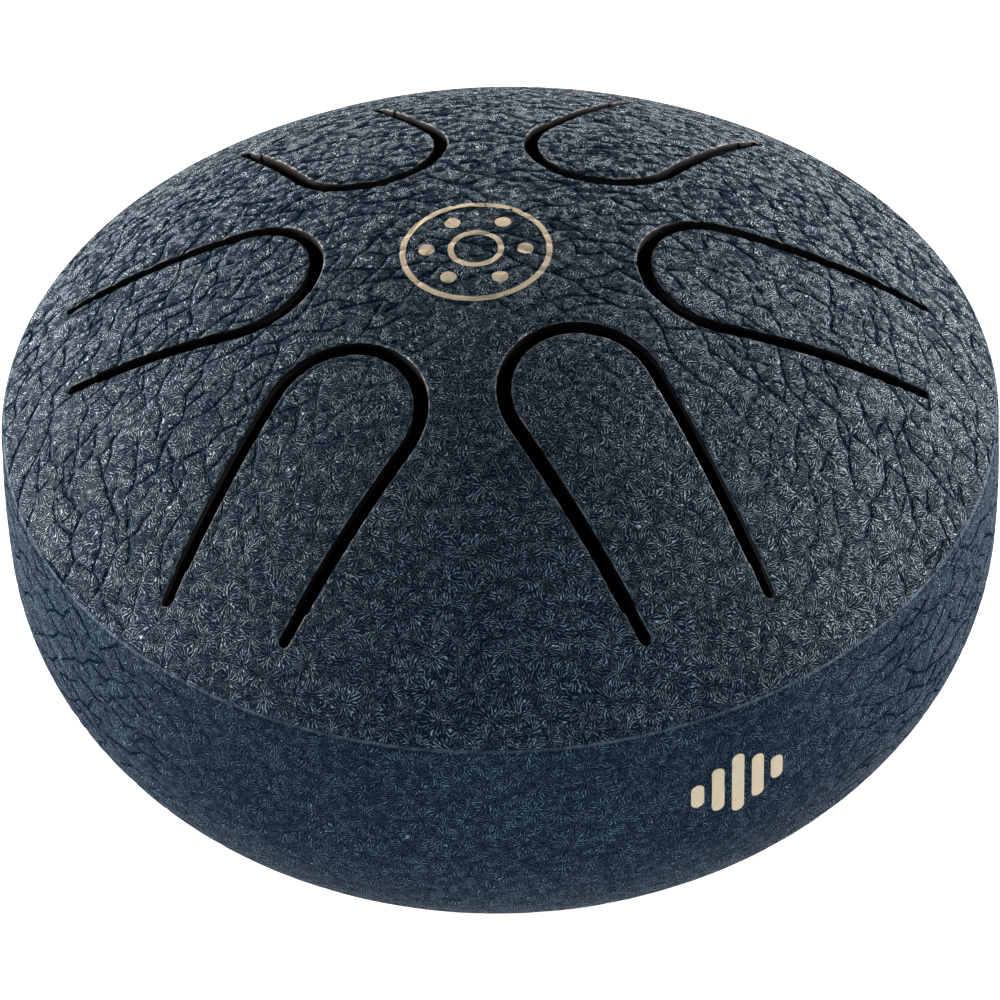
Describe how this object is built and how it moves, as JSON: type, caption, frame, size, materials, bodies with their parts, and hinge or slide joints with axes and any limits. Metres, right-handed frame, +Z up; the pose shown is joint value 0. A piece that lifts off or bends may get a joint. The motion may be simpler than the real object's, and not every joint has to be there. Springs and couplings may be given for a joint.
{
  "type": "pocket steel tongue drum",
  "caption": "Closed two-part pressed steel drum shell with a domed top, flexing tongues cut by U-shaped slots, a sound hole underneath and rubber feet.",
  "frame": {"origin": "middle of the plane that the rubber feet stand on, under the crown of the dome", "axes": "+Z up along the axis of the shell, -Y towards the front, +X to the right seen from the front"},
  "size_m": [0.14, 0.14, 0.0812],
  "materials": {
    "navy_wrinkle_paint": "satin wrinkle powder coat",
    "cream_print": "matt screen print",
    "black_rubber": "matt moulded rubber",
    "zinc_plated_steel": "bright zinc plate"
  },
  "bodies": {
    "drum": {"top_shell": "navy_wrinkle_paint", "bottom_shell": "navy_wrinkle_paint", "rim_weld": "navy_wrinkle_paint", "centre_emblem": "cream_print", "side_badge": "cream_print", "foot_1": "black_rubber", "foot_washer_1": "zinc_plated_steel", "foot_screw_1": "zinc_plated_steel", "weld_nut_1": "zinc_plated_steel", "foot_2": "black_rubber", "foot_washer_2": "zinc_plated_steel", "foot_screw_2": "zinc_plated_steel", "weld_nut_2": "zinc_plated_steel", "foot_3": "black_rubber", "foot_washer_3": "zinc_plated_steel", "foot_screw_3": "zinc_plated_steel", "weld_nut_3": "zinc_plated_steel"},
    "tongue_1": {"tongue_1": "navy_wrinkle_paint"},
    "tongue_2": {"tongue_2": "navy_wrinkle_paint"},
    "tongue_3": {"tongue_3": "navy_wrinkle_paint"},
    "tongue_4": {"tongue_4": "navy_wrinkle_paint"},
    "tongue_5": {"tongue_5": "navy_wrinkle_paint"},
    "tongue_6": {"tongue_6": "navy_wrinkle_paint"}
  },
  "joints": [
    {"name": "tongue_1_flex", "type": "hinge", "parent": "drum", "child": "tongue_1", "pos_m": [0.02561, -0.05275, 0.06189], "axis": [0.8984, 0.4393, 0.0019], "range_deg": [-0.5, 0.5], "stiffness_Nm_per_rad": 2},
    {"name": "tongue_2_flex", "type": "hinge", "parent": "drum", "child": "tongue_2", "pos_m": [0.05836, -0.00308, 0.06198], "axis": [0.0976, 0.9948, -0.0302], "range_deg": [-0.5, 0.5], "stiffness_Nm_per_rad": 2},
    {"name": "tongue_3_flex", "type": "hinge", "parent": "drum", "child": "tongue_3", "pos_m": [0.02949, 0.04679, 0.0639], "axis": [-0.8916, 0.4489, 0.0593], "range_deg": [-0.5, 0.5], "stiffness_Nm_per_rad": 2},
    {"name": "tongue_4_flex", "type": "hinge", "parent": "drum", "child": "tongue_4", "pos_m": [-0.02607, 0.0448, 0.06596], "axis": [-0.9356, -0.3381, -0.1014], "range_deg": [-0.5, 0.5], "stiffness_Nm_per_rad": 2},
    {"name": "tongue_5_flex", "type": "hinge", "parent": "drum", "child": "tongue_5", "pos_m": [-0.05884, 0.00315, 0.06165], "axis": [0.0699, -0.9941, 0.0834], "range_deg": [-0.5, 0.5], "stiffness_Nm_per_rad": 2},
    {"name": "tongue_6_flex", "type": "hinge", "parent": "drum", "child": "tongue_6", "pos_m": [-0.03608, -0.04933, 0.06017], "axis": [0.8546, -0.5154, 0.0634], "range_deg": [-0.5, 0.5], "stiffness_Nm_per_rad": 2}
  ]
}
